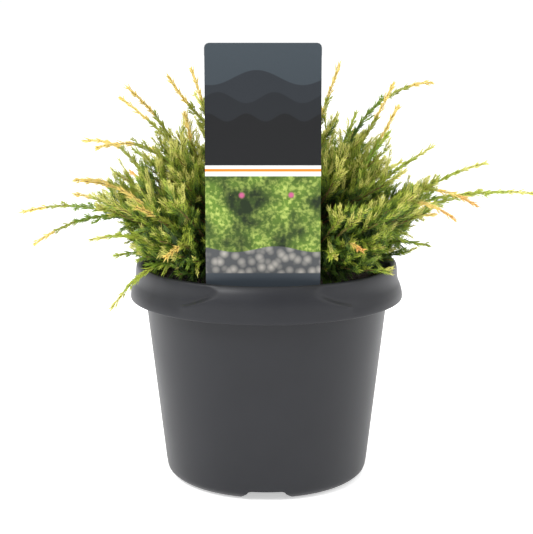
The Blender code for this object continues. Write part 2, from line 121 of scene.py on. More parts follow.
def newMaterial(name, colour, roughness, specular=0.5):
    material = bpy.data.materials.new(name)
    material.use_nodes = True
    tree = material.node_tree
    shader = tree.nodes["Principled BSDF"]
    shader.inputs["Base Color"].default_value = colour
    shader.inputs["Roughness"].default_value = roughness
    shader.inputs["Specular IOR Level"].default_value = specular
    return material, tree, shader


def feed(tree, socket, value):
    # Links the value when it is another node's output, or else sets it
    if isinstance(value, bpy.types.NodeSocket):
        tree.links.new(value, socket)
    else:
        socket.default_value = value


def calc(tree, operation, *values):
    node = tree.nodes.new("ShaderNodeMath")
    node.operation = operation
    for socket, value in zip(node.inputs, values):
        feed(tree, socket, value)
    return node.outputs[0]


def mixColour(tree, share, a, b):
    node = tree.nodes.new("ShaderNodeMix")
    node.data_type = "RGBA"
    for index, value in ((0, share), (6, a), (7, b)):
        feed(tree, node.inputs[index], value)
    return node.outputs[2]


def texture(tree, kind, **inputs):
    # A texture laid out by the object's own coordinates
    place = tree.nodes.new("ShaderNodeTexCoord")
    node = tree.nodes.new(kind)
    tree.links.new(place.outputs["Object"], node.inputs["Vector"])
    for name, value in inputs.items():
        node.inputs[name].default_value = value
    return node


def makeGrainGroup():
    # Fine speckle that more than one finish uses: a 0 to 1 mask and a normal
    group = bpy.data.node_groups.new("fine grain", "ShaderNodeTree")
    for name, default in (("Scale", 900.0), ("Detail", 4.0), ("Depth", 0.1)):
        socket = group.interface.new_socket(name=name, in_out="INPUT", socket_type="NodeSocketFloat")
        socket.default_value = default
    for name, kind in (("Mask", "NodeSocketFloat"), ("Normal", "NodeSocketVector")):
        group.interface.new_socket(name=name, in_out="OUTPUT", socket_type=kind)
    ins, outs = group.nodes.new("NodeGroupInput"), group.nodes.new("NodeGroupOutput")
    noise = texture(group, "ShaderNodeTexNoise")
    bump = group.nodes.new("ShaderNodeBump")
    bump.inputs["Distance"].default_value = 0.0004
    for source, target in (
        (ins.outputs["Scale"], noise.inputs["Scale"]),
        (ins.outputs["Detail"], noise.inputs["Detail"]),
        (ins.outputs["Depth"], bump.inputs["Strength"]),
        (noise.outputs["Fac"], bump.inputs["Height"]),
        (noise.outputs["Fac"], outs.inputs["Mask"]),
        (bump.outputs["Normal"], outs.inputs["Normal"]),
    ):
        group.links.new(source, target)
    return group


grainGroup = makeGrainGroup()


def addGrain(tree, scale, detail, depth):
    node = tree.nodes.new("ShaderNodeGroup")
    node.node_tree = grainGroup
    for name, value in (("Scale", scale), ("Detail", detail), ("Depth", depth)):
        node.inputs[name].default_value = value
    return node


def makeEarthyMaterial(name, colour, roughness, mottle, dark, light, grain):
    # Peat and bark: two tones mixed by noise of the mottle's scale, and a grain of scale, detail and depth
    material, tree, shader = newMaterial(name, colour, roughness)
    noise = texture(tree, "ShaderNodeTexNoise", Scale=mottle, Detail=5.0)
    tree.links.new(mixColour(tree, noise.outputs["Fac"], dark, light), shader.inputs["Base Color"])
    tree.links.new(addGrain(tree, *grain).outputs["Normal"], shader.inputs["Normal"])
    return material


# Pot

pot = {
    "height": 152.0, "footR": 62.0, "heelR": 70.9, "heelZ": 7.7, "shoulderR": 84.4, "shoulderZ": 127.2,
    "wall": 1.8, "floorZ": 9.5, "skirtR": 95.0, "skirtWall": 1.8,
    "padAngle": 22.0, "padBlend": 2.6, "padWiden": 14.0, "padWidenZ": 146.0, "padWidenDrop": 10.0,
    "notches": 3, "notchHeight": 7.0, "notchTop": 22.0, "notchFoot": 38.0, "notchInnerR": 38.0,
    "notchPast": 5.0, "drainR": 4.5, "drainAt": 48.0, "drainZ": (4.5, 12.5), "drainSides": 24,
    "segments": 240, "roundPasses": 2, "sharpAngle": 42.0,
}
soilTop = 138.0


def innerWallR(height):
    slope = (pot["shoulderR"] - pot["heelR"]) / (pot["shoulderZ"] - pot["heelZ"])
    return pot["heelR"] - pot["wall"] + slope * (height - pot["heelZ"])


def listPotProfile():
    # Height and radius of each corner, from the middle of the underside, round the rim, to the middle of the
    # floor. A third number is the radius on the flat pads at the rim's front and back.
    skirtIn = pot["skirtR"] - pot["skirtWall"]
    corners = [
        (0, 0), (0, 55), (0, pot["footR"]), (1.7, 66.6), (4.4, 69.8), (pot["heelZ"], pot["heelR"]),
        (20.0, 72.3), (110.0, 82.46), (pot["shoulderZ"], pot["shoulderR"]), (145.0, 86.4), (147.0, 88.0),
        (145.0, 89.4), (129.5, skirtIn), (127.7, skirtIn + 0.15), (127.5, 94.1), (128.1, 95.0),
        (132.5, 94.5, 95.0), (136.5, 93.2, 94.9), (139.5, 91.9, 94.7), (143.0, 91.2, 94.2),
        (148.3, 90.9, 92.4), (151.0, 90.4), (pot["height"], 88.8), (151.2, 87.4), (149.0, 86.0),
        (138.0, innerWallR(138)), (30.0, innerWallR(30)), (14.0, innerWallR(14)), (pot["floorZ"], 66.0),
        (pot["floorZ"], 40.0), (pot["floorZ"], 0),
    ]
    return np.array([(corner[0], corner[1], corner[-1]) for corner in corners], float)


def roundOff(rows, passes):
    # Corner cutting: each edge of the open path keeps its middle part, so every corner becomes a short curve
    near, far = 0.78, 0.22
    for _ in range(passes):
        a, b = rows[:-1], rows[1:]
        cut = np.stack([near * a + far * b, far * a + near * b], axis=1).reshape(-1, rows.shape[1])
        rows = np.concatenate([rows[:1], cut, rows[-1:]])
    return rows


def makePotMaterial():
    material, tree, shader = newMaterial("satin pot plastic", srgb(31, 32, 36), 0.4, 0.27)
    grain = addGrain(tree, 1400.0, 3.0, 0.06)
    broad = texture(tree, "ShaderNodeTexNoise", Scale=28.0, Detail=3.0)
    rough = calc(tree, "MULTIPLY_ADD", broad.outputs["Fac"], 0.12, 0.32)
    rough = calc(tree, "MULTIPLY_ADD", grain.outputs["Mask"], 0.06, rough)
    tree.links.new(rough, shader.inputs["Roughness"])
    colour = mixColour(tree, broad.outputs["Fac"], srgb(26, 27, 31), srgb(35, 36, 40))
    tree.links.new(colour, shader.inputs["Base Color"])
    tree.links.new(grain.outputs["Normal"], shader.inputs["Normal"])
    return material


def makePot():
    rows = roundOff(listPotProfile(), pot["roundPasses"])
    azimuth = np.linspace(0, math.tau, pot["segments"], endpoint=False)
    # Degrees from the middle of the nearer pad
    fromPad = (np.degrees(azimuth) + 90) % 180
    fromPad = np.minimum(fromPad, 180 - fromPad)
    inner = rows[1:-1]
    # The pads widen towards the skirt's lower edge, so that each ends in a curved lip
    widen = np.clip((pot["padWidenZ"] - inner[:, :1]) / pot["padWidenDrop"], 0, 1) ** 1.5 * pot["padWiden"]
    pad = (pot["padAngle"] + widen + pot["padBlend"] - fromPad[None]) / (2 * pot["padBlend"])
    pad = smoothStep(np.clip(pad, 0, 1))
    radius = inner[:, 1:2] + (inner[:, 2:3] - inner[:, 1:2]) * pad
    wall = turned(radius, azimuth, inner[:, :1]).reshape(-1, 3)
    points = np.concatenate([wall, [[0, 0, rows[0, 0]], [0, 0, rows[-1, 0]]]])
    piece = newPiece("nurseryPot", points, tubeFaces(len(inner), pot["segments"]), makePotMaterial())
    cutFoot(piece)
    piece.data.set_sharp_from_angle(angle=math.radians(pot["sharpAngle"]))
    settle(piece, "pot_plastic", "pot")


def makeCutters():
    # A groove across the foot's edge, and the drain hole over its inner end, both along +X. The sides of the
    # groove lean in and its top corners are rounded; half of its outline is mirrored
    low, high, tall = pot["notchFoot"] / 2 + 0.9, pot["notchTop"] / 2, pot["notchHeight"]
    half = [(low, -0.8), (high + 2.4, tall - 2.2), (high + 1.2, tall - 0.6), (high - 0.6, tall)]
    outline = np.roll(np.array(half + [(-y, z) for y, z in reversed(half)]), 1, axis=0)
    xs = (pot["notchInnerR"], pot["heelR"] + pot["notchPast"])
    groove = [np.c_[np.full(len(outline), x), outline] for x in xs] + [[(x, 0, 3) for x in xs]]
    azimuth = np.linspace(0, math.tau, pot["drainSides"], endpoint=False)
    zs = pot["drainZ"]
    drain = [turned(pot["drainR"], azimuth, z) for z in zs] + [[(0, 0, z) for z in zs]]
    return [newPiece("grooveTool", np.concatenate(groove), tubeFaces(2, len(outline))),
            newPiece("drainTool", np.concatenate(drain) + [pot["drainAt"], 0, 0], tubeFaces(2, len(azimuth)))]


def cutFoot(piece):
    tools = []
    for k in range(pot["notches"]):
        turn = Matrix.Rotation(math.tau * k / pot["notches"] - math.pi / 2, 4, "Z")
        for tool in makeCutters():
            tool.data.transform(turn)
            cut = piece.modifiers.new("cut", "BOOLEAN")
            cut.operation, cut.object, cut.solver = "DIFFERENCE", tool, "EXACT"
            tools.append(tool)
    bpy.context.view_layer.update()
    whole = piece.evaluated_get(bpy.context.evaluated_depsgraph_get())
    piece.data = bpy.data.meshes.new_from_object(whole)
    piece.modifiers.clear()
    for tool in tools:
        bpy.data.objects.remove(tool, do_unlink=True)


makePot()
print("pot made")


# Peat

peat = {
    "rings": 90, "spokes": 220, "gap": 0.6, "footZ": 20.0, "level": soilTop - 1.2, "mostRelief": 1.1,
    # Share, grain size and seed of each layer of relief
    "relief": 1.5, "layers": ((0.55, 14, 3), (0.3, 4.5, 4), (0.25, 1.7, 6)),
    # Rows crowd towards the edge by this power
    "crowding": 0.8,
    "crumbs": 1700, "crumbSize": (0.5, 1.9), "crumbGap": 2.0, "seed": 5,
    "stretch": (0.6, 1.2), "squash": 0.8, "lift": 0.2,
}


def peatHeight(x, y):
    relief = sum(share * valueNoise(x / size, y / size, seed) for share, size, seed in peat["layers"])
    return peat["level"] + np.clip(peat["relief"] * relief, -peat["mostRelief"], peat["mostRelief"])


def makePeat():
    # A disc of rings x spokes whose height is layered noise, closed by a wall and a floor
    azimuth = np.linspace(0, math.tau, peat["spokes"], endpoint=False)
    edge = innerWallR(soilTop) - peat["gap"]
    radius = edge * np.linspace(0.01, 1, peat["rings"]) ** peat["crowding"]
    top = turned(radius[:, None], azimuth, 0.0)
    top[..., 2] = peatHeight(top[..., 0], top[..., 1])
    wall = turned(innerWallR(peat["footZ"]) - peat["gap"], azimuth, peat["footZ"])[None]
    rows = np.concatenate([top, wall, wall * [0.02, 0.02, 1.0]])
    points = np.concatenate([rows.reshape(-1, 3), [[0, 0, peat["level"]], [0, 0, peat["footZ"]]]])
    faces = tubeFaces(len(rows), peat["spokes"])[:, [0, 2, 1]]
    material = makeEarthyMaterial("moist peat", srgb(40, 31, 25), 0.92, 420.0, srgb(20, 15, 12),
                                  srgb(66, 50, 38), (900.0, 6.0, 0.5))
    settle(newPiece("peatBed", points, faces, material), "peat", "soil")
    # Crumbs: squashed octahedra scattered on the bed
    rng = np.random.default_rng(peat["seed"])
    n = peat["crumbs"]
    spin = rng.uniform(0, math.tau, n)
    far = np.sqrt(rng.uniform(0.01, 1, n)) * (edge - peat["crumbGap"])
    middle = turned(far, spin, 0.0)
    size = rng.uniform(*peat["crumbSize"], n)
    shape = np.array([[1, 0, 0], [0, 1, 0], [-1, 0, 0], [0, -1, 0], [0, 0, 0.7], [0, 0, -0.7]], float)
    turn = rng.uniform(0, math.tau, n)
    c, s = np.cos(turn)[:, None], np.sin(turn)[:, None]
    stretch = size[:, None, None] * rng.uniform(*peat["stretch"], (n, 1, 3))
    x, y, z = np.moveaxis(shape * stretch * peat["squash"], -1, 0)
    middle[:, 2] = peatHeight(middle[:, 0], middle[:, 1]) + size * peat["lift"]
    crumb = np.stack([x * c - y * s, x * s + y * c, z], axis=-1) + middle[:, None]
    faces = np.array([[0, 1, 4], [1, 2, 4], [2, 3, 4], [3, 0, 4], [1, 0, 5], [2, 1, 5], [3, 2, 5], [0, 3, 5]])
    faces = (faces[None] + len(shape) * np.arange(n)[:, None, None]).reshape(-1, 3)
    settle(newPiece("peatCrumbs", crumb.reshape(-1, 3), faces, material, smooth=False), "peat")


makePeat()
print("peat made")


# Plant label: a generic print, worked out from the card's own width and height

label = {
    "width": 74.0, "top": 305.0, "foot": 148.0, "x": -2.2, "y": -74.0,
    # Edges of the print as shares of the card's height, and how soft they are
    "slateTo": 0.06, "flecks": (0.35, 0.44), "whiteFrom": 0.462, "rule": (0.48, 0.492), "skyFrom": 0.505,
    "softEdge": 0.004,
    # Ridges of hills: waves across the card, shift, height, level and colour
    "hills": ((8.0, 2.0, 0.03, 0.86, (37, 41, 46)), (13.0, 0.3, 0.022, 0.78, (29, 32, 36)),
              (19.0, 4.3, 0.016, 0.7, (20, 21, 23))),
}


def makeLabelMaterial():
    material, tree, shader = newMaterial("printed card", srgb(54, 57, 61), 0.34, 0.2)
    place = tree.nodes.new("ShaderNodeTexCoord")
    axes = tree.nodes.new("ShaderNodeSeparateXYZ")
    tree.links.new(place.outputs["Object"], axes.inputs[0])
    # u runs -0.5 to 0.5 over the card's width, v runs 0 to 1 up its height
    tall = label["top"] - label["foot"]
    u = calc(tree, "MULTIPLY_ADD", axes.outputs[0], 1000 / label["width"], -label["x"] / label["width"])
    v = calc(tree, "MULTIPLY_ADD", axes.outputs[2], 1000 / tall, -label["foot"] / tall)

    def limited(value):
        return calc(tree, "MINIMUM", calc(tree, "MAXIMUM", value, 0.0), 1.0)

    def scaled(value, gain, shift):
        return limited(calc(tree, "MULTIPLY_ADD", value, gain, shift))

    def above(edge):
        return limited(calc(tree, "DIVIDE", calc(tree, "SUBTRACT", v, edge), label["softEdge"]))

    def wave(turns, shift, height, level):
        turn = calc(tree, "MULTIPLY_ADD", u, turns, shift)
        return calc(tree, "MULTIPLY_ADD", calc(tree, "SINE", turn), height, level)

    def noise(scale, detail):
        return texture(tree, "ShaderNodeTexNoise", Scale=scale, Detail=detail).outputs["Fac"]

    def cells(scale):
        return texture(tree, "ShaderNodeTexVoronoi", Scale=scale).outputs["Distance"]

    # Leafy field: soft dark and light clouds under fine pale speckle, and a few soft pink flecks
    cloud = scaled(noise(52.0, 6.0), 4.0, -1.5)
    speckle = calc(tree, "MULTIPLY", scaled(noise(420.0, 3.0), 5.0, -2.3), cloud)
    leafy = mixColour(tree, cloud, srgb(24, 38, 14), srgb(92, 122, 42))
    leafy = mixColour(tree, speckle, leafy, srgb(166, 182, 92))
    strip = calc(tree, "SUBTRACT", 1.0, above(label["flecks"][1]))
    strip = calc(tree, "MULTIPLY", above(label["flecks"][0]), strip)
    flecks = calc(tree, "MULTIPLY", scaled(cells(74.0), -9.0, 1.6), strip)
    leafy = mixColour(tree, flecks, leafy, srgb(178, 84, 124))
    # Foot of the card: pale pebbles over a slate band
    pebble = scaled(cells(190.0), 1.5, 0.0)
    stones = mixColour(tree, pebble, srgb(168, 164, 156), srgb(72, 74, 76))
    card = mixColour(tree, above(wave(9.0, 0.6, 0.012, 0.16)), stones, leafy)
    card = mixColour(tree, above(label["slateTo"]), srgb(58, 65, 72), card)
    # Straight white band with an orange rule
    white = srgb(236, 236, 234)
    card = mixColour(tree, above(label["whiteFrom"]), card, white)
    card = mixColour(tree, above(label["rule"][0]), card, srgb(232, 122, 30))
    card = mixColour(tree, above(label["rule"][1]), card, white)
    # Rounded dark hills under a slate sky
    sky = mixColour(tree, calc(tree, "MULTIPLY_ADD", v, 2.2, -1.3), srgb(46, 52, 58), srgb(56, 64, 70))
    for *ridge, colour in label["hills"]:
        sky = mixColour(tree, above(wave(*ridge)), srgb(*colour), sky)
    card = mixColour(tree, above(label["skyFrom"]), card, sky)
    tree.links.new(card, shader.inputs["Base Color"])
    grain = addGrain(tree, 1200.0, 2.0, 0.02)
    tree.links.new(calc(tree, "MULTIPLY_ADD", grain.outputs["Mask"], 0.1, 0.3), shader.inputs["Roughness"])
    return material


labelObject = bpy.data.objects["plant_label"]
labelObject.data.materials.clear()
labelObject.data.materials.append(makeLabelMaterial())
print("label printed")


# The shrub's growth rule: the same masses, twigs and long shoots as the solids, carried on to finer growth

crown = {
    "centre": np.array([0.0, 0.0, 142.0]), "boughReach": 42.0, "seed": 20, "fineSeed": 500, "golden": 137.5,
    "domeRise": (0.0, 12.0, 19.0, 26.0, 35.0, 44.0, 56.0, 70.0, 90.0),
    "domeReach": (92.0, 98.0, 108.0, 130.0, 124.0, 117.0, 120.0, 121.0, 117.0),
    # Clearances: between masses, round the boughs, inside the pot's wall, over rim and peat, round the label
    "massGap": 0.5, "limbClear": 1.0, "wallClear": 2.0, "rimClear": 1.5, "labelClear": 2.0, "labelShade": 4.0,
}
# Stems and twigs: R are foot and tip radii, scale is how much of the dome's reach a twig has. A twig leaves
# its stem between leaveFirst and leaveFirst + leaveSpan, and each trial draws it in and lifts it
twigRule = {
    "points": 12, "stemShare": 0.93, "stemBow": 3.0, "stemR": (1.6, 0.7),
    "R": (1.2, 0.5), "scale": (0.9, 1.03), "fineCount": 2.2, "fineR": (1.0, 0.45), "fineScale": (0.72, 0.97),
    "leaveFirst": 0.06, "leaveSpan": 0.5, "bow": 0.16,
    "trials": 6, "drawIn": 0.12, "leastRise": 8.5, "lift": 1.5, "slack": 1.0, "sides": 5,
}
# Rings of masses: their count, first azimuth, rise, spread either way, twigs and where their boughs leave
rings = (
    {"name": "low", "count": 8, "turn": 0, "rise": 20, "wide": 21, "high": 13, "twigs": 8,
     "leaves": (146.5, 152.0)},
    {"name": "mid", "count": 6, "turn": 30, "rise": 47, "wide": 26, "high": 13, "twigs": 5,
     "leaves": (157.5, 159.5)},
    {"name": "top", "count": 3, "turn": 90, "rise": 76, "wide": 50, "high": 11, "twigs": 4,
     "leaves": (163.5, 163.5)},
)
# Long shoots: azimuth, rise, reach, arch and tint of each
longShoots = (
    (174, 70, 152, -0.15, "gold"), (189, 64, 154, 0.06, "gold"), (180, 54, 160, 0.10, "gold"),
    (220, 59, 136, 0.0, "gold"), (192, 38, 148, 0.42, "gold"), (171, 35, 159, 0.40, "gold"),
    (184, 27, 148, 0.30, "gold"), (198, 29, 146, 0.24, "gold"), (214, 31, 135, 0.10, "gold"),
    (177, 14, 176, 0.22, "olive"), (187, 24, 144, 0.12, "olive"), (193, 10, 162, 0.36, "olive"),
    (207, 15, 134, 0.15, "lime"), (226, 27, 133, 0.10, "gold"), (238, 15, 122, 0.20, "gold"),
    (204, 11, 113, 0.10, "leaf"), (215, -4, 124, 0.34, "lime"), (165, 41, 130, 0.0, "leaf"),
    (6, 71, 154, -0.22, "gold"), (5, 49, 175, 0.42, "olive"), (350, 57, 159, -0.05, "gold"),
    (338, 52, 152, -0.12, "gold"), (328, 48, 141, -0.05, "leaf"), (12, 36, 148, -0.10, "lime"),
    (2, 27, 170, 0.14, "lime"), (357, 17, 196, 0.22, "lime"), (358, 22, 160, 0.05, "lime"),
    (346, 20, 155, 0.46, "orange"), (336, 19, 144, 0.52, "orange"), (301, 17, 122, 0.14, "orange"),
    (295, 16, 108, 0.10, "lime"), (345, 13, 116, 0.06, "leaf"), (333, 60, 133, 0.0, "leaf"),
    (331, 70, 124, 0.0, "gold"),
)
# The far side gets more of them by rule, with these rises and tints in turn
backShoots = {
    "count": 16, "from": 22.0, "sweep": 136.0, "jitter": 4.0, "rises": (14.0, 34.0, 22.0, 46.0),
    "reach": (136.0, 172.0), "arch": (-0.05, 0.16), "tints": ("gold", "lime", "olive", "gold", "orange"),
}
# A long shoot leaves its mass's stem at the first of these shares that fits
shootRule = {
    "leaves": (0.25, 0.4, 0.55, 0.7), "points": 26, "R": (0.9, 0.35), "slack": 26.0,
    "sway": 1.8, "waves": 1.4,
}
# Short side shoots of the long ones: where they stand, how far apart, length and direction
sprigRule = {
    "first": 0.25, "span": 0.5, "step": 6.0, "length": 15.0, "jitter": (0.7, 1.3), "points": 4,
    "forward": 0.85, "sideways": 0.5, "bow": 0.12,
}
# Fingers: radii, length, direction and curve of each, and of the small one on it. They stand a step apart
# from first to last on a twig and turn up by the lift; the low masses have some more that turn down
fingerRule = {
    "R": (0.45, 0.2), "sides": 3, "length": (10.0, 21.0), "shorten": (1.15, 0.35), "points": 5,
    "slack": 5.0, "scatter": 0.75,
    "forward": 0.50, "sideways": 0.46, "outward": 0.12, "curve": 0.16, "curveOut": 0.3, "curveUp": 2.5,
    "smallAt": (0.2, 0.55), "smallLength": (5.0, 9.5), "smallPoints": 4, "smallScatter": 0.8,
    "smallForward": 0.9, "smallSideways": 0.5,
}
# How evenly sprigs and fingers are spaced: each stands within this part of its own stretch
placeJitter = (0.2, 0.8)
fingersUp = {"first": 0.16, "last": 0.97, "lift": 0.40, "step": 5.0}
fingersDown = {"first": 0.0, "last": 0.7, "lift": -0.42, "step": 9.0}


def heading(azimuth, rise):
    a, r = math.radians(azimuth), math.radians(rise)
    return np.array([math.cos(r) * math.cos(a), math.cos(r) * math.sin(a), math.sin(r)])


def bend(start, middle, end, count):
    # Quadratic curve from start to end that leans to middle
    t = np.linspace(0, 1, count)[:, None]
    return (1 - t) ** 2 * start + 2 * t * (1 - t) * middle + t ** 2 * end


def distances(path):
    # How far along the path each of its points is
    return np.concatenate([[0.0], np.cumsum(np.linalg.norm(np.diff(path, axis=0), axis=1))])


def walk(path, at):
    # Points and directions at these distances along the path
    along = distances(path)
    place = np.stack([np.interp(at, along, path[:, k]) for k in range(3)], axis=-1)
    index = np.clip(np.searchsorted(along, at, side="right") - 1, 0, len(path) - 2)
    return place, unit(path[index + 1] - path[index])


def atShare(path, share):
    return walk(path, share * distances(path)[-1])


def listMasses():
    masses = []
    for rule in rings:
        for k in range(rule["count"]):
            azimuth = rule["turn"] + 360.0 * k / rule["count"]
            masses.append({
                **rule, "name": f"{rule['name']}_{k + 1}", "index": len(masses), "azimuth": azimuth,
                "leaves": rule["leaves"][k % 2], "axis": heading(azimuth, rule["rise"]),
            })
    return masses


masses = listMasses()
axes = np.array([m["axis"] for m in masses])


def reach(direction):
    # How far the dense crown goes: a low dome, flat behind the label
    rise = math.degrees(math.asin(min(max(direction[2], -1.0), 1.0)))
    dome = float(np.interp(rise, crown["domeRise"], crown["domeReach"]))
    if direction[1] < -0.05:
        toLabel = (label["y"] + crown["labelShade"]) / direction[1]
        if abs(direction[0] * toLabel - label["x"]) < label["width"] / 2 + crown["labelShade"]:
            return min(dome, toLabel)
    return dome


def fits(points, mass, slack, nearBough=False):
    # Whether points keep to the mass's cone, and clear of pot, peat, label and limbs. Slack lets them mingle
    rays = points - crown["centre"]
    own = mass["index"]
    normals = unit(axes[own] - np.delete(axes, own, axis=0))
    if (rays @ normals.T).min() < crown["massGap"] - slack:
        return False
    closest = np.linalg.norm(rays, axis=1).min()
    if not nearBough and closest < crown["boughReach"] + crown["limbClear"] - slack:
        return False
    x, y, z = points.T
    radius = np.hypot(x, y)
    inside = innerWallR(soilTop) - crown["wallClear"]
    overRim = (radius > inside) & (radius < pot["skirtR"] + crown["rimClear"])
    inRim = overRim & (z < pot["height"] + crown["rimClear"])
    inPeat = (radius <= inside) & (z < soilTop + crown["rimClear"])
    acrossLabel = np.abs(x - label["x"]) < label["width"] / 2 + crown["labelClear"]
    return not (inRim | inPeat | (acrossLabel & (y < label["y"] + crown["labelClear"]))).any()


def findTwig(stem, index, count, phase, scale, mass):
    # A twig from the stem to its place on the dome, drawn in towards the mass's middle until it fits
    spin = math.radians(phase + crown["golden"] * index)
    spread = math.sqrt((index + 0.6) / count)
    rule = twigRule
    start, forward = atShare(stem, rule["leaveFirst"] + rule["leaveSpan"] * (1.0 - spread))
    for trial in range(rule["trials"]):
        narrow = spread * (1.0 - rule["drawIn"] * trial)
        azimuth = mass["azimuth"] + mass["wide"] * narrow * math.cos(spin)
        rise = mass["rise"] + mass["high"] * narrow * math.sin(spin)
        target = heading(azimuth, max(rise, rule["leastRise"] + rule["lift"] * trial))
        tip = crown["centre"] + target * reach(target) * scale
        away = (tip - start) - forward * ((tip - start) @ forward)
        twig = bend(start, (start + tip) / 2 + rule["bow"] * away, tip, rule["points"])
        if fits(twig, mass, rule["slack"], nearBough=True):
            return twig
    return None


def growTwigs(stem, mass, count, scale, radii, rng):
    # Twigs at golden-angle steps round the mass's axis, with their foot and tip radii
    phase = rng.uniform(0.0, 360.0)
    twigs = [findTwig(stem, k, count, phase, rng.uniform(*scale), mass) for k in range(count)]
    return [(twig, *radii) for twig in twigs if twig is not None]


def listShoots():
    rng = np.random.default_rng(crown["seed"])
    shoots = list(longShoots)
    rule = backShoots
    jitter = (-rule["jitter"], rule["jitter"])
    for k in range(rule["count"]):
        azimuth = rule["from"] + rule["sweep"] * (k + 0.5) / rule["count"] + rng.uniform(*jitter)
        rise = rule["rises"][k % len(rule["rises"])] + rng.uniform(*jitter)
        shoots.append((azimuth, rise, rng.uniform(*rule["reach"]), rng.uniform(*rule["arch"]),
                       rule["tints"][k % len(rule["tints"])]))
    return shoots


def growMass(mass, shoots):
    # Paths of the mass: its stem, twigs and finer twigs, the fingers on each, and its long shoots
    rng = np.random.default_rng(crown["seed"] + 1 + mass["index"])
    fine = np.random.default_rng(crown["fineSeed"] + mass["index"])
    axis = mass["axis"]
    foot = crown["centre"] + axis * crown["boughReach"]
    end = crown["centre"] + axis * reach(axis) * twigRule["stemShare"]
    stem = bend(foot, (foot + end) / 2 + np.array([0, 0, twigRule["stemBow"]]), end, twigRule["points"])
    limbs = [(stem, *twigRule["stemR"])]
    limbs += growTwigs(stem, mass, mass["twigs"], twigRule["scale"], twigRule["R"], rng)
    more = int(mass["twigs"] * twigRule["fineCount"])
    limbs += growTwigs(stem, mass, more, twigRule["fineScale"], twigRule["fineR"], fine)
    fingers = []
    for path, _, _ in limbs:
        fingers.append((path[-4:], "end"))
        fingers.append((path[2:-3], "inner"))
        fingers += fingersOn(path, fingersUp, fine, mass)
        if mass["name"].startswith("low"):
            fingers += fingersOn(path, fingersDown, fine, mass)
    longOnes = []
    for azimuth, rise, far, arch, tint in shoots:
        tip = crown["centre"] + heading(azimuth, rise) * far
        for share in shootRule["leaves"]:
            start = atShare(stem, share)[0]
            middle = (start + tip) / 2 + np.array([0, 0, arch * np.linalg.norm(tip - start)])
            path = swayed(bend(start, middle, tip, shootRule["points"]), fine)
            if fits(path, mass, shootRule["slack"], nearBough=True):
                longOnes.append((path, sprigsOn(path, fine), tint))
                limbs.append((path, *shootRule["R"]))
                break
    return limbs, fingers, longOnes


def swayed(path, rng):
    # A long shoot isn't quite even: a small sideways wave that dies out at both ends
    t = np.linspace(0, 1, len(path))[:, None]
    across = unit(np.cross(path[-1] - path[0], rng.normal(size=3)))
    wave = np.sin(math.tau * (shootRule["waves"] * t + rng.uniform())) * np.sin(math.pi * t)
    return path + across * shootRule["sway"] * wave


def sprigsOn(path, rng):
    # Short side shoots of a long one, shorter towards its tip, each with its place on it
    found = []
    rule = sprigRule
    count = round(distances(path)[-1] * rule["span"] / rule["step"])
    for k in range(count):
        share = rule["first"] + rule["span"] * (k + rng.uniform(*placeJitter)) / count
        spot, ahead = atShare(path, share)
        side = unit(np.cross(ahead, rng.normal(size=3)))
        size = rule["length"] * (1.0 - share) * rng.uniform(*rule["jitter"])
        tip = spot + unit(rule["forward"] * ahead + rule["sideways"] * side) * size
        sprig = bend(spot, (spot + tip) / 2 + rule["bow"] * size * side, tip, rule["points"])
        found.append((sprig, share))
    return found


def fingersOn(path, spread, rng, mass):
    # Slim short shoots, left and right in turn, that lean forward from a twig; each may carry a small one
    found = []
    rule, outward, up = fingerRule, mass["axis"], np.array([0, 0, spread["lift"]])
    span = spread["last"] - spread["first"]
    count = max(round(distances(path)[-1] * span / spread["step"]), 2)
    for k in range(count):
        share = spread["first"] + span * (k + rng.uniform(*placeJitter)) / count
        foot, forward = atShare(path, share)
        side = np.cross(forward, outward) + rule["scatter"] * rng.normal(size=3)
        side = unit(side - forward * (side @ forward)) * (1.0 if k % 2 else -1.0)
        direction = unit(rule["forward"] * forward + rule["sideways"] * side + rule["outward"] * outward + up)
        size = rng.uniform(*rule["length"]) * (rule["shorten"][0] - rule["shorten"][1] * share)
        curve = (rule["curveOut"] * outward + rule["curveUp"] * up) * rule["curve"] * size
        finger = bend(foot, foot + direction * size * 0.5, foot + direction * size + curve, rule["points"])
        if fits(finger[1:], mass, rule["slack"]):
            found.append((finger, "side"))
            spot, ahead = atShare(finger, rng.uniform(*rule["smallAt"]))
            turn = unit(np.cross(ahead, side + rule["smallScatter"] * rng.normal(size=3)))
            lean = unit(rule["smallForward"] * ahead + rule["smallSideways"] * turn)
            small = spot + lean * rng.uniform(*rule["smallLength"])
            if fits(small[None], mass, rule["slack"]):
                middle = (spot + small) / 2 + 0.5 * turn
                found.append((bend(spot, middle, small, rule["smallPoints"]), "small"))
    return found


# Tubes from paths, many at a time

def frames(paths):
    # paths: n x k x 3. Forward, side and up directions at each point
    forward = unit(np.gradient(paths, axis=1))
    chord = unit(paths[:, -1] - paths[:, 0])
    across = np.eye(3)[np.argmin(np.abs(chord), axis=1)][:, None]
    side = unit(np.cross(forward, across))
    return forward, side, np.cross(side, forward)


def tubes(paths, radiusFoot, radiusTip, sides):
    # Tapered tubes with a closed foot and a point at the tip, for n paths of k points each
    n, k, _ = paths.shape
    forward, side, up = frames(paths)
    share = np.linspace(0, 1, k)[None, :, None]
    radius = radiusFoot[:, None, None] * (1 - share) + radiusTip[:, None, None] * share
    angle = math.tau * np.arange(sides) / sides
    around = side[:, :, None] * np.cos(angle)[:, None] + up[:, :, None] * np.sin(angle)[:, None]
    points = paths[:, :, None] + around * radius[:, :, None]
    ends = np.stack([paths[:, 0], paths[:, -1] + forward[:, -1] * radiusTip[:, None]], axis=1)
    points = np.concatenate([points.reshape(n, -1, 3), ends], axis=1)
    faces = tubeFaces(k, sides)[None] + points.shape[1] * np.arange(n)[:, None, None]
    return points.reshape(-1, 3), faces.reshape(-1, 3)


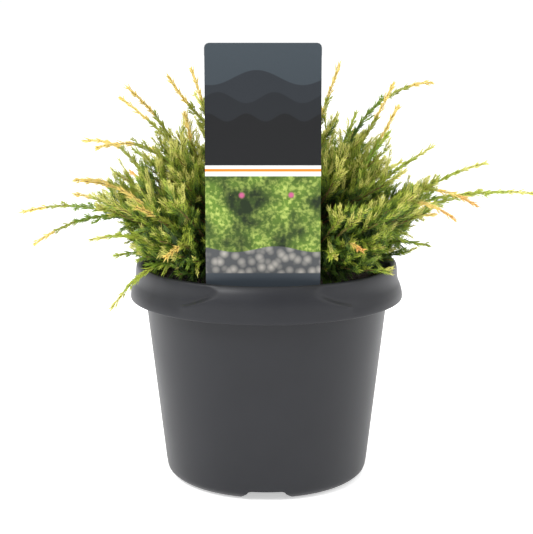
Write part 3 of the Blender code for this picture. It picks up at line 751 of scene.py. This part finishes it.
def joinParts(parts):
    points, faces, base = [], [], 0
    for p, f in parts:
        points.append(p)
        faces.append(f + base)
        base += len(p)
    return np.concatenate(points), np.concatenate(faces)


# Twigs, fingers and needles

tints = {
    "deep": (44, 68, 28), "shade": (76, 106, 38), "leaf": (122, 148, 50), "lime": (168, 182, 68),
    "pale": (206, 204, 108), "olive": (154, 162, 64), "gold": (228, 203, 112), "orange": (226, 178, 100),
}
# Painted shade and light in steps, from the dark, painted-shade middle of the crown to its light, painted-lit
# outside
fingerTints = ("deep", "shade", "leaf", "lime", "pale")
# The tints along a long shoot: each holds up to its share of the length
shootStages = {
    "gold": ((0.5, "leaf"), (0.74, "olive"), (1.1, "gold")),
    "orange": ((0.5, "leaf"), (0.72, "olive"), (0.86, "gold"), (1.1, "orange")),
    "olive": ((0.5, "shade"), (0.72, "leaf"), (0.86, "olive"), (1.1, "gold")),
    "lime": ((0.5, "leaf"), (0.84, "lime"), (1.1, "pale")),
    "leaf": ((0.5, "shade"), (0.85, "leaf"), (1.1, "lime")),
}
needle = {
    # Distance between whorls, and the bare share at the foot of each kind of shoot
    "fingerStep": 1.45, "innerStep": 1.7, "shootStep": 1.15, "sprigStep": 1.2,
    "fingerBare": 0.08, "shootBare": 0.25, "sprigBare": 0.2,
    # A needle at age 0, and what it loses by age 1
    "length": 4.3, "shorter": 1.1, "lean": 42.0, "steeper": 22.0, "halfWidth": 0.43,
    "leanJitter": (0.75, 1.25), "lengthJitter": (0.8, 1.15),
    # Its foot stands off the shoot; its keel's place and height, and how far the tip turns forward
    "off": 0.3, "keelAt": 0.25, "keel": 0.9, "tipForward": 0.12,
    "budEvery": 7.5, "tintSeed": 77, "seed": 900, "whorlsAPiece": 15000,
}
# How light a finger is painted: its share of the crown's reach, its height over the peat, and chance. Inner
# and low sprays get painted shade, outer and high ones painted light
paintedLightRule = {"outGain": 1.8, "outFrom": 0.74, "highGain": 0.75, "highest": 120.0, "chance": 0.24, "inner": 1}
foliageNodes = [f"foliage_{m['name']}" for m in masses]


def needles(foot, forward, length, spread, width, rng):
    # Awl-shaped needles, three to a whorl: a three-cornered foot and a tip, leaning out by the spread
    n = len(foot)
    across = np.eye(3)[np.argmin(np.abs(forward), axis=1)]
    side = unit(np.cross(forward, across))
    up = np.cross(side, forward)
    turn = rng.uniform(0, math.tau, n)[:, None] + math.tau * np.arange(3)[None] / 3
    out = side[:, None] * np.cos(turn)[..., None] + up[:, None] * np.sin(turn)[..., None]
    lean = spread[:, None, None] * rng.uniform(*needle["leanJitter"], (n, 3, 1))
    ahead = forward[:, None] * np.cos(lean) + out * np.sin(lean)
    size = (length[:, None] * rng.uniform(*needle["lengthJitter"], (n, 3)))[..., None]
    across = unit(np.cross(ahead, out))
    back = np.cross(across, ahead)
    wide = width[:, None, None]
    base = foot[:, None] + out * needle["off"]
    keel = base + back * wide * needle["keel"] + ahead * size * needle["keelAt"]
    tip = base + ahead * size + forward[:, None] * size * needle["tipForward"]
    points = np.stack([base + across * wide, keel, base - across * wide, tip], axis=2)
    faces = np.array([[0, 1, 2], [3, 1, 0], [3, 2, 1], [3, 0, 2]])
    return points.reshape(-1, 3), (faces[None] + 4 * np.arange(n * 3)[:, None, None]).reshape(-1, 3)


def dealOut(whorls, bands, path, step, first, ageOf, girthOf):
    # Puts the whorls of a path with the tints of its bands; each band holds up to its share of the length
    place, forward, share = placesAlong(path, step, first)
    age, girth = ageOf(share), girthOf(share) + np.zeros(len(share))
    low = 0.0
    for high, tint in bands:
        part = (share >= low) & (share < high)
        whorls[tint].append((place[part], forward[part], age[part], girth[part]))
        low = high


def placesAlong(path, step, first):
    # Whorl places every step along a path, with their directions and shares of its length
    whole = distances(path)[-1]
    at = np.arange(whole * first + 0.5 * step, whole, step)
    return *walk(path, at), at / whole


def needleFinger(whorls, path, kind, rng):
    # Tint by spray, as painted shade and light: how far out on the crown, how high, and chance. Fingers
    # inside a twig get the darker, painted-shade steps
    out = np.linalg.norm(path[-1] - crown["centre"]) / reach(unit(path[-1] - crown["centre"]))
    high = (path[-1][2] - soilTop) / paintedLightRule["highest"]
    paintedLight = paintedLightRule["outGain"] * (out - paintedLightRule["outFrom"]) + paintedLightRule["highGain"] * high
    paintedLight += rng.normal() * paintedLightRule["chance"]
    level = paintedLightRule["inner"] if kind == "inner" else int(np.clip(paintedLight * 4, 0, 4))
    around = fingerTints[max(level - 1, 0)], fingerTints[level], fingerTints[min(level + 1, 4)]
    bands = list(zip((0.34, 0.7, 1.1), around))
    step = needle["innerStep"] if kind == "inner" else needle["fingerStep"]
    first = needle["fingerBare"] if kind == "side" else 0.0
    dealOut(whorls, bands, path, step, first, lambda share: 0.15 + 0.85 * share, lambda share: 1.0)


def needleShoot(whorls, path, sprigs, tint):
    # Small buds swell a long shoot every few millimetres: longer, thicker needles that lean further out
    turns = distances(path)[-1] / needle["budEvery"] * math.tau

    def bud(share):
        return np.clip(np.sin(share * turns), 0, 1) ** 2

    stages = shootStages[tint]
    dealOut(whorls, stages, path, needle["shootStep"], needle["shootBare"],
            lambda share: 0.66 + 0.4 * share - 0.72 * bud(share), lambda share: 1.15 + 0.75 * bud(share))
    for sprig, at in sprigs:
        own = [(1.1, next(name for end, name in stages if at <= end))]
        dealOut(whorls, own, sprig, needle["sprigStep"], needle["sprigBare"],
                lambda share: share, lambda share: 1.1)


def growCrown():
    shoots = listShoots()
    owners = [int(np.argmax(axes @ heading(s[0], s[1]))) for s in shoots]
    rng = np.random.default_rng(needle["tintSeed"])
    allLimbs, thin, whorls = [], [], {tint: [] for tint in tints}
    for mass in masses:
        limbs, fingers, longOnes = growMass(mass, [s for s, o in zip(shoots, owners) if o == mass["index"]])
        allLimbs += limbs
        thin += [path for path, kind in fingers if kind in ("side", "small")]
        for path, kind in fingers:
            needleFinger(whorls, path, kind, rng)
        for path, sprigs, tint in longOnes:
            needleShoot(whorls, path, sprigs, tint)
    return allLimbs, thin, whorls


def makeTwigs(limbs, thin):
    # Paths of one length at a time, since their tubes are worked out together
    parts = []
    for size in sorted({len(path) for path, _, _ in limbs}):
        paths, foots, tips = zip(*[limb for limb in limbs if len(limb[0]) == size])
        parts.append(tubes(np.array(paths), np.array(foots), np.array(tips), twigRule["sides"]))
    wood = newMaterial("twig bark", srgb(112, 84, 52), 0.8)[0]
    settle(newPiece("twigs", *joinParts(parts), wood), "bark", *foliageNodes)
    # A finger keeps its first, middle and last point, and a small one only its ends
    parts = []
    for size in sorted({len(path) for path in thin}):
        kept = [0, size // 2, size - 1] if size > 4 else [0, size - 1]
        chosen = np.array([path[kept] for path in thin if len(path) == size])
        foots, tips = (np.full(len(chosen), radius) for radius in fingerRule["R"])
        parts.append(tubes(chosen, foots, tips, fingerRule["sides"]))
    green = newMaterial("green twig", srgb(98, 104, 48), 0.7)[0]
    settle(newPiece("fingerTwigs", *joinParts(parts), green), "foliage", *foliageNodes)


def makeNeedles(whorls):
    # One plain colour to a tint, in pieces that stay well under the triangle limit
    for index, (tint, groups) in enumerate(whorls.items()):
        foot, forward, age, girth = (np.concatenate(column) for column in zip(*groups))
        length = (needle["length"] - needle["shorter"] * age) * np.sqrt(girth)
        spread = np.radians(needle["lean"] - needle["steeper"] * age)
        rng = np.random.default_rng(needle["seed"] + index)
        material = newMaterial(f"needles {tint}", srgb(*tints[tint]), 0.5, 0.35)[0]
        for part, start in enumerate(range(0, len(foot), needle["whorlsAPiece"])):
            s = slice(start, start + needle["whorlsAPiece"])
            mesh = needles(foot[s], forward[s], length[s], spread[s], needle["halfWidth"] * girth[s], rng)
            piece = newPiece(f"needles{tint.capitalize()}{part + 1}", *mesh, material, smooth=False)
            settle(piece, "foliage", *foliageNodes)


limbs, thin, whorls = growCrown()
print("crown grown:", len(limbs), "twigs,", len(thin), "fingers,",
      sum(len(w[0]) for group in whorls.values() for w in group) * 3, "needles")
makeTwigs(limbs, thin)
makeNeedles(whorls)
print("needles made")


# Bark on the trunk and the boughs

bark = {
    "sides": 28, "relief": 0.077, "ridges": 8, "flake": 5.0,
    "trunkHeight": 29.0, "trunkLean": np.array([1.6, 0.8]), "trunkRows": 40, "trunkSeed": 11,
    "trunkZ": (0, 2.6, 7, 14, 21, 26, 29.0), "trunkR": (11.0, 9.0, 7.6, 7.2, 6.5, 5.4, 3.4),
    "boughRows": 26, "boughR": (2.5, 1.7), "boughSeed": 20,
    "boughOff": 4.0, "boughPast": 1.0, "boughLean": 0.55,
}


def barkTube(path, radii, seed):
    # A tube whose radius is cut in by long flakes: noise stretched along the limb
    sides, ridges = bark["sides"], bark["ridges"]
    _, side, up = (a[0] for a in frames(path[None]))
    angle = math.tau * np.arange(sides) / sides
    a, l = np.meshgrid(np.arange(sides) / sides * ridges, distances(path) / bark["flake"])
    ridge = valueNoise(a, l, seed, ridges) + 0.5 * valueNoise(a * 2, l * 2.3, seed + 1, 2 * ridges)
    radius = radii[:, None] * (1 + bark["relief"] * (np.clip(ridge, -1, 1) - 1))
    around = side[:, None] * np.cos(angle)[None, :, None] + up[:, None] * np.sin(angle)[None, :, None]
    points = (path[:, None] + around * radius[..., None]).reshape(-1, 3)
    return np.concatenate([points, path[:1], path[-1:]]), tubeFaces(len(path), sides)


def makeLimbs():
    tall, lean = bark["trunkHeight"], bark["trunkLean"]
    height = np.linspace(0, tall, bark["trunkRows"])
    path = np.c_[lean * height[:, None] / tall, soilTop + 0.3 + height]
    parts = [barkTube(path, np.interp(height, bark["trunkZ"], bark["trunkR"]), bark["trunkSeed"])]
    for mass in masses:
        # From the trunk's side, at the height where this bough leaves it, to the foot of the mass
        at = lean * (mass["leaves"] - soilTop) / tall
        start = np.array([*at, mass["leaves"]]) + unit(mass["axis"] * [1, 1, 0]) * bark["boughOff"]
        end = crown["centre"] + mass["axis"] * (crown["boughReach"] + bark["boughPast"])
        middle = end - mass["axis"] * np.linalg.norm(end - start) * bark["boughLean"]
        path = bend(start, middle, end, bark["boughRows"])
        radii = np.linspace(*bark["boughR"], bark["boughRows"])
        parts.append(barkTube(path, radii, bark["boughSeed"] + mass["index"]))
    material = makeEarthyMaterial("flaking bark", srgb(104, 76, 54), 0.86, 260.0, srgb(70, 48, 34),
                                  srgb(150, 112, 82), (700.0, 5.0, 0.4))
    nodes = ["stem"] + [f"bough_{m['name']}" for m in masses]
    settle(newPiece("barkLimbs", *joinParts(parts), material), "bark", *nodes)


makeLimbs()
print("limbs barked")


# Floor, light and camera, in metres

stage = {
    "floorHalf": 6.0, "floorGlow": 0.5,
    # The studio's white: all round, less towards the camera, more overhead
    "white": 1.02, "frontLess": 0.62, "frontFall": 1.5, "overheadMore": 0.35,
    # Name, place, width and power of each lamp; both point at the aim
    "lamps": (("keyLight", (-1.0, -1.0, 1.5), 0.8, 26), ("fillLight", (1.4, -0.6, 0.9), 1.2, 5)),
    "lampAim": (0, 0, 0.15),
    "lens": 36.0 * 1430 / 534, "pitch": 11.2, "distance": 1.0, "aimZ": 0.147, "clipStart": 0.05,
}


def makeFloor():
    half = stage["floorHalf"] / mm
    white = (0.92, 0.92, 0.92, 1.0)
    material, _, shader = newMaterial("white floor", white, 0.9, 0.0)
    shader.inputs["Emission Color"].default_value = (1, 1, 1, 1)
    shader.inputs["Emission Strength"].default_value = stage["floorGlow"]
    points = np.array([[-half, -half, 0], [half, -half, 0], [half, half, 0], [-half, half, 0]])
    floor = newPiece("floor", points, np.array([[0, 1, 2, 3]]), material)


def addLamp(name, place, size, power):
    light = bpy.data.lights.new(name, "AREA")
    light.shape, light.size, light.energy = "DISK", size, power
    lamp = bpy.data.objects.new(name, light)
    lamp.location = place
    towards = Vector(stage["lampAim"]) - Vector(place)
    lamp.rotation_euler = towards.to_track_quat("-Z", "Y").to_euler()
    scene.collection.objects.link(lamp)


def makeLight():
    # A white studio whose front side, where the camera stands, is dimmer than its top, back and sides
    world = bpy.data.worlds.new("studio")
    world.use_nodes = True
    tree = world.node_tree
    direction = tree.nodes.new("ShaderNodeTexCoord")
    axes = tree.nodes.new("ShaderNodeSeparateXYZ")
    tree.links.new(direction.outputs["Generated"], axes.inputs[0])
    facing = calc(tree, "MAXIMUM", calc(tree, "MULTIPLY", axes.outputs[1], -1.0), 0.0)
    facing = calc(tree, "POWER", facing, stage["frontFall"])
    overhead = calc(tree, "MAXIMUM", axes.outputs[2], 0.0)
    strength = calc(tree, "MULTIPLY_ADD", facing, -stage["frontLess"], stage["white"])
    strength = calc(tree, "MULTIPLY_ADD", overhead, stage["overheadMore"], strength)
    background = tree.nodes["Background"]
    background.inputs["Color"].default_value = (1, 1, 1, 1)
    tree.links.new(strength, background.inputs["Strength"])
    scene.world = world
    for lamp in stage["lamps"]:
        addLamp(*lamp)


def makeCamera():
    cameraData = bpy.data.cameras.new("camera")
    cameraData.sensor_width = 36.0
    cameraData.lens = stage["lens"]
    cameraData.clip_start = stage["clipStart"]
    camera = bpy.data.objects.new("camera", cameraData)
    pitch, distance = math.radians(stage["pitch"]), stage["distance"]
    camera.location = (0, -distance * math.cos(pitch), stage["aimZ"] + distance * math.sin(pitch))
    camera.rotation_euler = (math.pi / 2 - pitch, 0, 0)
    scene.collection.objects.link(camera)
    scene.camera = camera
    scene.view_settings.view_transform = "Standard"


makeFloor()
makeLight()
makeCamera()
print("stage set")
